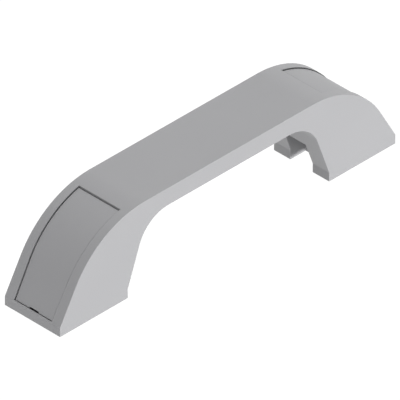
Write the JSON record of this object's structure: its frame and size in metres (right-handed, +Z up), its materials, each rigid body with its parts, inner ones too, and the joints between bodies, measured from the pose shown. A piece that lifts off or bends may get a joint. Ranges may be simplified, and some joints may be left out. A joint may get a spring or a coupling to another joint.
{
  "type": "strap handle",
  "caption": "Moulded grey bow handle: flat sides, leaning feet that curve into a straight grip, a notch in each heel, and snap-in caps over the fixing screws.",
  "frame": {"origin": "centre of the mounting face, midway between the feet", "axes": "+X along the grip, +Y across it, +Z up from the mounting face to the grip"},
  "size_m": [0.2, 0.033, 0.0446],
  "materials": {
    "body_plastic": "fine matt moulded light grey",
    "cap_plastic": "fine matt moulded light grey"
  },
  "bodies": {
    "root": {"handle_body": "body_plastic", "left_cover_cap": "cap_plastic", "right_cover_cap": "cap_plastic"}
  },
  "joints": []
}
